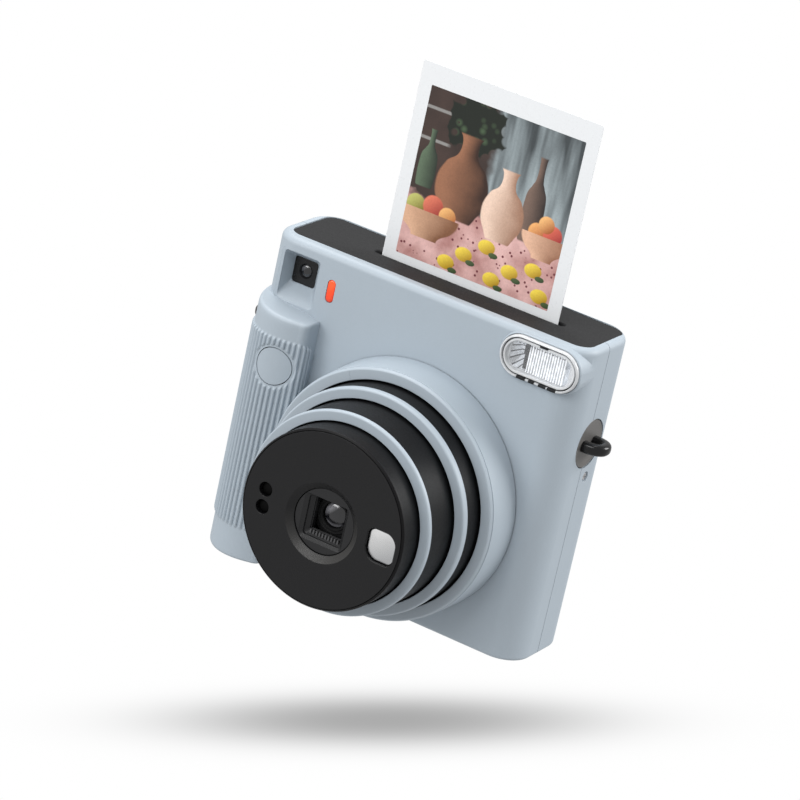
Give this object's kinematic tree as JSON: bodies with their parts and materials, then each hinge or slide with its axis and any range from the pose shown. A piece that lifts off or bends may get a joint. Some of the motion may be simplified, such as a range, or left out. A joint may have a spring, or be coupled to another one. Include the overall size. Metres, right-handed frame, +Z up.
{
  "type": "instant camera",
  "caption": "Square-format instant camera with a two-stage extending lens, side hand grip, flash, film door and a print coming out of the slot in its top.",
  "frame": {"origin": "on the base, at mid-width and under the film plane", "axes": "+X to the right as seen from the front, +Y from the lens towards the film door, +Z up; the lens points along -Y"},
  "size_m": [0.1466, 0.0908, 0.1906],
  "materials": {
    "shell": "fine satin texture",
    "plate": "satin",
    "black": "satin",
    "inner": "matt black",
    "clear": "clear, polished",
    "lens_glass": "coated",
    "mirror": "polished",
    "reflector": "bright",
    "steel": "plain",
    "motor_can": "plain",
    "lamp": "glossy orange",
    "paper": "satin",
    "taupe": "satin",
    "gear": "natural",
    "rubber": "matt",
    "board": "green board",
    "cell": "printed sleeve"
  },
  "bodies": {
    "camera_body": {"front_cover": "shell", "rear_cover": "shell", "top_plate": "plate", "door_hinge_pin": "steel", "chassis": "inner", "film_pack": "inner", "film_sheets": "paper", "roller_frame": "steel", "motor": "motor_can", "lens_guide_tube": "inner", "flash_cover": "clear", "flash_reflector": "reflector", "flash_tube": "lens_glass", "flash_capacitor": "motor_can", "viewfinder_window": "lens_glass", "viewfinder_tube": "inner", "eyepiece_frame": "black", "eyepiece_lens": "lens_glass", "indicator_lamp": "lamp", "button_switch": "black", "battery_lower": "cell", "battery_upper": "cell", "battery_bay": "inner", "battery_contact": "steel", "main_board": "board", "strap_lug_right": "black", "strap_lug_left": "black", "lug_plate_right": "taupe", "lug_plate_left": "taupe", "counter_window": "clear", "side_screw": "steel"},
    "film_door": {"film_door": "shell", "film_window": "clear", "pressure_spring": "steel"},
    "door_latch": {"door_latch": "black"},
    "lens_ring": {"lens_ring": "shell"},
    "stage_1": {"stage_1_barrel": "black", "stage_1_collar": "shell"},
    "stage_2": {"stage_2_barrel": "black", "stage_2_collar": "shell"},
    "lens_front": {"front_barrel": "black", "front_plate": "black", "lens_baffle": "inner", "front_lens": "lens_glass", "shutter_housing": "inner", "selfie_mirror": "mirror", "light_sensor_window": "black", "flash_sensor_window": "black"},
    "blade_left": {"shutter_blade_left": "steel"},
    "blade_right": {"shutter_blade_right": "steel"},
    "shutter_button": {"shutter_button": "shell"},
    "battery_door": {"battery_door": "shell"},
    "print": {"print": "paper"},
    "roller_front": {"roller_front": "rubber", "roller_gear_front": "gear"},
    "roller_rear": {"roller_rear": "rubber", "roller_gear_rear": "gear"},
    "idler": {"idler_gear": "gear"},
    "pinion": {"motor_pinion": "gear"},
    "counter_dial": {"counter_dial": "gear"}
  },
  "joints": [
    {"name": "stage_1_slide", "type": "slide", "parent": "camera_body", "child": "stage_1", "axis": [0, 1, 0], "range_m": [0, 0.01]},
    {"name": "lens_ring_turn", "type": "hinge", "parent": "camera_body", "child": "lens_ring", "pos_m": [0.0075, -0.027, 0.0476], "axis": [0, 1, 0], "range_deg": [-60, 0]},
    {"name": "stage_2_slide", "type": "slide", "parent": "stage_1", "child": "stage_2", "axis": [0, 1, 0], "range_m": [0, 0.01511]},
    {"name": "lens_front_slide", "type": "slide", "parent": "stage_2", "child": "lens_front", "axis": [0, 1, 0], "range_m": [0, 0.00821]},
    {"name": "blade_left_swing", "type": "hinge", "parent": "lens_front", "child": "blade_left", "pos_m": [-0.0045, -0.0558, 0.0596], "axis": [0, -1, 0], "range_deg": [0, 45]},
    {"name": "blade_right_swing", "type": "hinge", "parent": "lens_front", "child": "blade_right", "pos_m": [0.0195, -0.0566, 0.0596], "axis": [0, -1, 0], "range_deg": [-45, 0]},
    {"name": "shutter_button_press", "type": "slide", "parent": "camera_body", "child": "shutter_button", "axis": [0, 1, 0], "range_m": [0, 0.0015], "stiffness_N_per_m": 1000},
    {"name": "film_door_swing", "type": "hinge", "parent": "camera_body", "child": "film_door", "pos_m": [0.0555, 0.0165, 0.053], "axis": [0, 0, -1], "range_deg": [0, 95]},
    {"name": "door_latch_slide", "type": "slide", "parent": "camera_body", "child": "door_latch", "axis": [0, 0, 1], "range_m": [0, 0.002]},
    {"name": "battery_door_swing", "type": "hinge", "parent": "camera_body", "child": "battery_door", "pos_m": [-0.051, -0.00575, 0.00115], "axis": [1, 0, 0], "range_deg": [0, 100]},
    {"name": "roller_front_spin", "type": "hinge", "parent": "camera_body", "child": "roller_front", "pos_m": [0.0075, -0.00455, 0.108], "axis": [1, 0, 0], "range_deg": [-1377, 30]},
    {"name": "print_eject", "type": "slide", "parent": "camera_body", "child": "print", "axis": [0, 0, 1], "range_m": [-0.096, 0.002]},
    {"name": "roller_rear_spin", "type": "hinge", "parent": "camera_body", "child": "roller_rear", "pos_m": [0.0075, 0.00455, 0.108], "axis": [1, 0, 0], "range_deg": [-30, 1377]},
    {"name": "idler_spin", "type": "hinge", "parent": "camera_body", "child": "idler", "pos_m": [0.0517, -0.006, 0.09595], "axis": [1, 0, 0], "range_deg": [-18, 827]},
    {"name": "pinion_spin", "type": "hinge", "parent": "camera_body", "child": "pinion", "pos_m": [0.0517, -0.0102, 0.08538], "axis": [1, 0, 0], "range_deg": [-1652, 36]},
    {"name": "counter_dial_turn", "type": "hinge", "parent": "camera_body", "child": "counter_dial", "pos_m": [-0.05, 0.0142, 0.0365], "axis": [0, 1, 0], "range_deg": [0, 324]}
  ],
  "couplings": [
    {"joint": "lens_ring_turn", "follows": "stage_1_slide", "rad_per_m": -104.7},
    {"joint": "stage_2_slide", "follows": "stage_1_slide", "ratio": 1.51},
    {"joint": "lens_front_slide", "follows": "stage_1_slide", "ratio": 0.82},
    {"joint": "blade_right_swing", "follows": "blade_left_swing", "ratio": -1},
    {"joint": "roller_front_spin", "follows": "print_eject", "rad_per_m": 250},
    {"joint": "roller_rear_spin", "follows": "print_eject", "rad_per_m": -250},
    {"joint": "idler_spin", "follows": "print_eject", "rad_per_m": -150},
    {"joint": "pinion_spin", "follows": "print_eject", "rad_per_m": 300}
  ]
}
